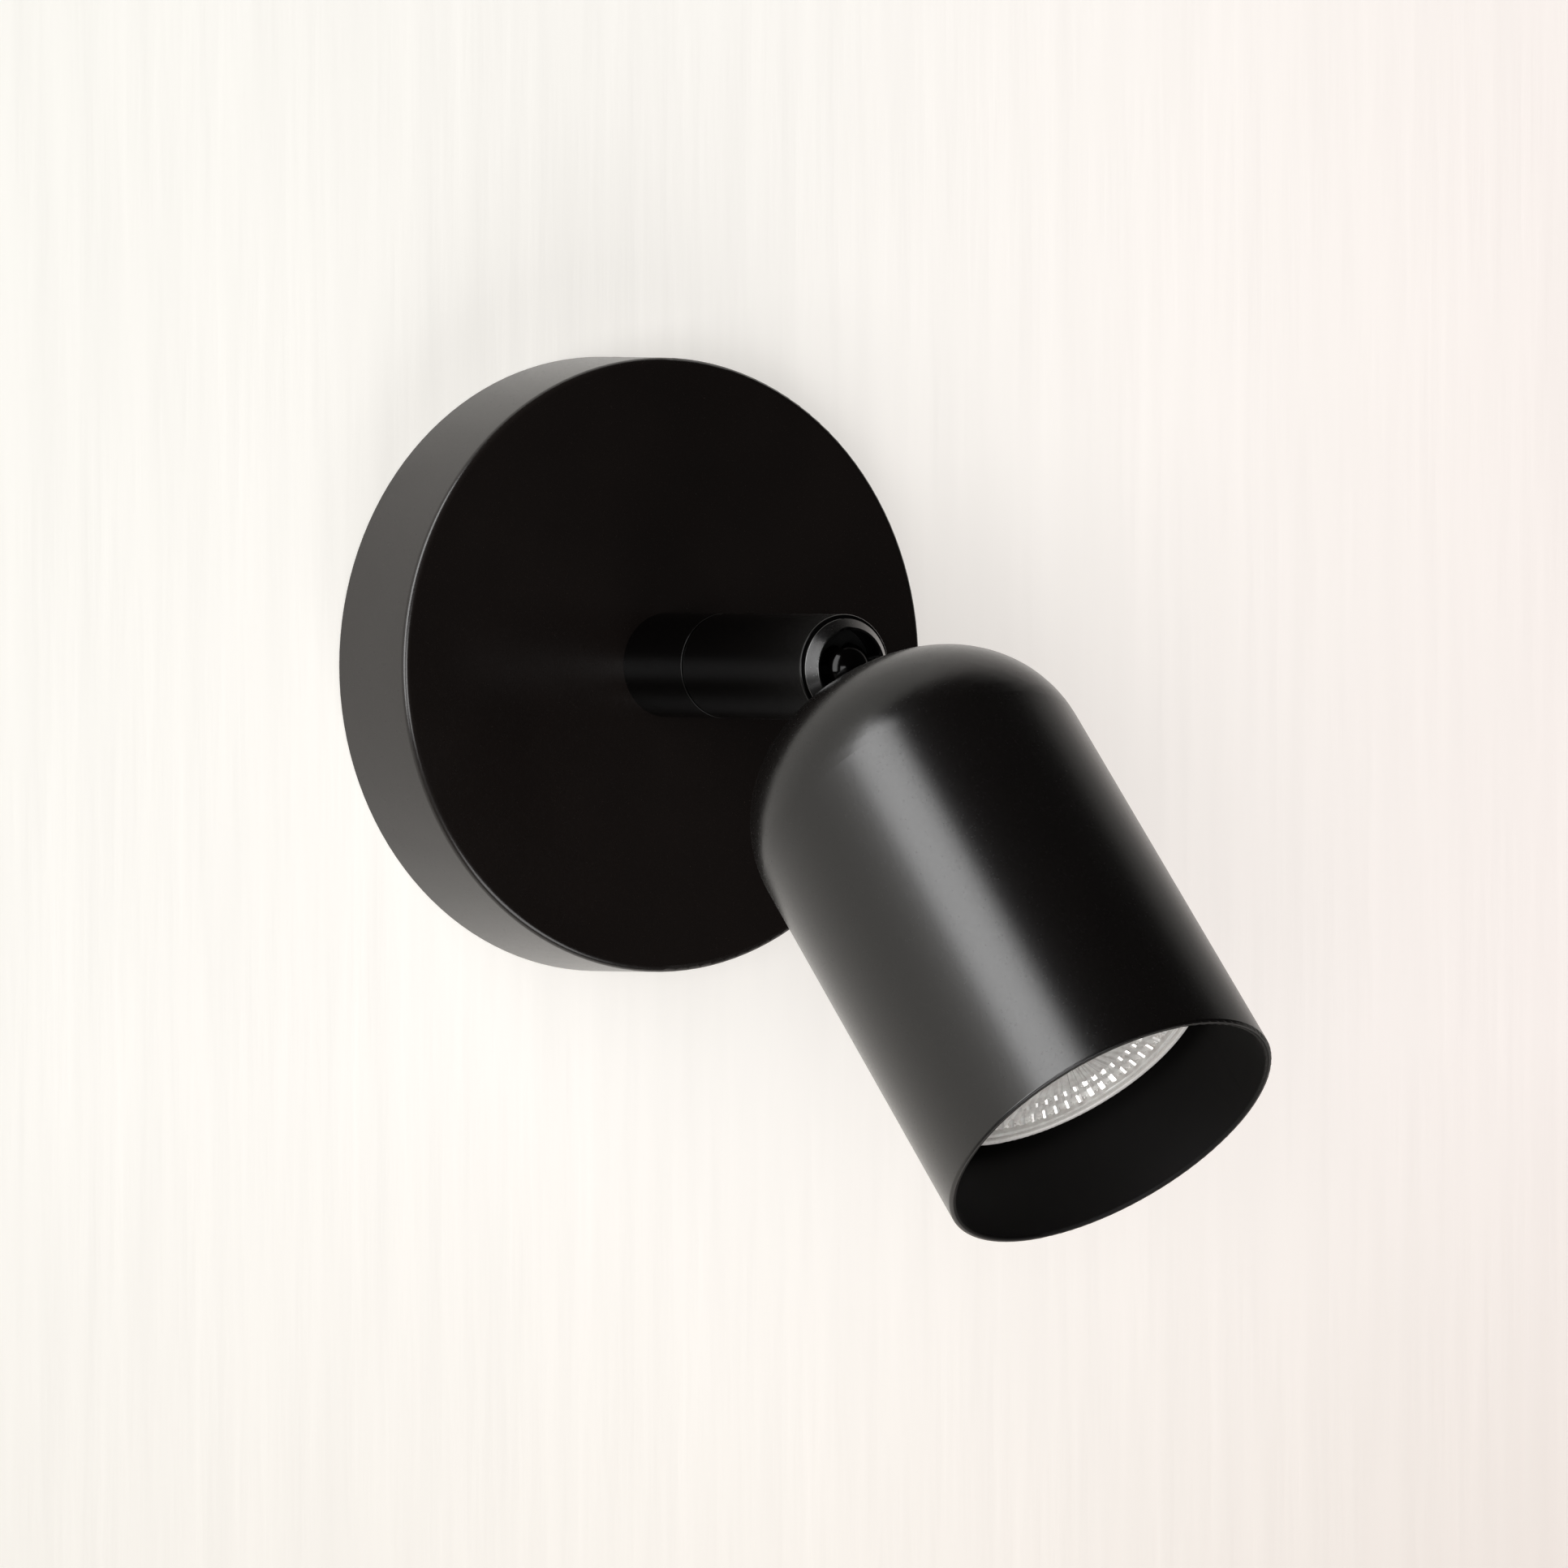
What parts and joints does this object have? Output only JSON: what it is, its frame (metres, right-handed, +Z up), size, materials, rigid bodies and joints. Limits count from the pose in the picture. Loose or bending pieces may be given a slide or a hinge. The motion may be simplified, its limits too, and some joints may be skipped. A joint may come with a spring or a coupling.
{
  "type": "pivoting spotlight wall light",
  "caption": "Wall spotlight: round canopy, short turning arm and a domed tubular shade on a tilting knuckle, holding a twist-in reflector lamp recessed behind an open mouth.",
  "frame": {"origin": "centre of the canopy's back, on the wall, midway between the two wall slots", "axes": "+Z up along the wall, -Y out of the wall along the arm, +X to the right when facing the wall"},
  "size_m": [0.1036, 0.1558, 0.1432],
  "materials": {
    "black_paint": "satin black powder coat",
    "black_gloss": "black lacquer, a little glossier than the shade",
    "zinc_steel": "bright zinc plate",
    "spring_steel": "plain spring steel",
    "brass": "machined brass",
    "nickel": "nickel plate",
    "white_plastic": "moulded thermoplastic",
    "black_plastic": "moulded nylon",
    "ceramic": "unglazed steatite",
    "lamp_white": "white moulded lamp housing",
    "lamp_grey": "light grey ring round the lens",
    "lens_clear": "clear ribbed optical plastic",
    "board_white": "white solder mask",
    "board_green": "green solder mask",
    "led_yellow": "phosphor",
    "lead_insulation": "silicone-insulated leads: brown, blue and green-yellow"
  },
  "bodies": {
    "base": {"canopy": "black_paint", "wall_bracket": "zinc_steel", "canopy_screws": "black_gloss", "terminal_block": "white_plastic", "terminal_sleeves": "brass", "terminal_screws": "zinc_steel", "terminal_block_screw": "zinc_steel", "earth_tag": "nickel", "earth_screw": "brass", "arm_nipple": "zinc_steel", "nipple_nut": "zinc_steel", "nipple_washer": "spring_steel", "cable_bush": "black_plastic", "arm_foot": "black_gloss", "swivel_core": "brass", "swivel_washer": "black_plastic", "swivel_stop_pin": "spring_steel", "swivel_spring_washer": "spring_steel", "swivel_clip": "spring_steel", "canopy_leads": "lead_insulation", "earth_lead": "lead_insulation"},
    "arm": {"arm_tube": "black_gloss", "joint_cup": "black_gloss", "spring_seat": "brass", "disc_springs": "spring_steel", "pressure_shoe": "black_plastic", "pivot_pins": "black_gloss", "arm_leads": "lead_insulation"},
    "head": {"tilt_knuckle": "black_gloss", "shade": "black_paint", "shade_washer": "zinc_steel", "lampholder_strap": "zinc_steel", "shank_earth_tag": "nickel", "shank_washer": "spring_steel", "shank_nut": "zinc_steel", "lampholder": "ceramic", "lampholder_back": "ceramic", "lampholder_contacts": "nickel", "lampholder_screws": "zinc_steel", "lampholder_nuts": "zinc_steel", "head_leads": "lead_insulation"},
    "lamp": {"lamp_base": "lamp_white", "lamp_pins": "nickel", "lamp_body": "lamp_white", "lamp_driver": "board_green", "lamp_led_board": "board_white", "lamp_leds": "led_yellow", "lamp_lens": "lens_clear", "lamp_bezel": "lamp_grey"}
  },
  "joints": [
    {"name": "arm_swivel", "type": "hinge", "parent": "base", "child": "arm", "pos_m": [0, -0.038, 0], "axis": [0, -1, 0], "range_deg": [-172.8, 157.2]},
    {"name": "head_tilt", "type": "hinge", "parent": "arm", "child": "head", "pos_m": [0, -0.0729, 0], "axis": [-0.9907, 0, -0.1357], "range_deg": [-2, 102.8]},
    {"name": "lamp_twist", "type": "hinge", "parent": "head", "child": "lamp", "pos_m": [0.00523, -0.10477, -0.03817], "axis": [0.1046, -0.6374, -0.7634], "range_deg": [0, 40]}
  ]
}
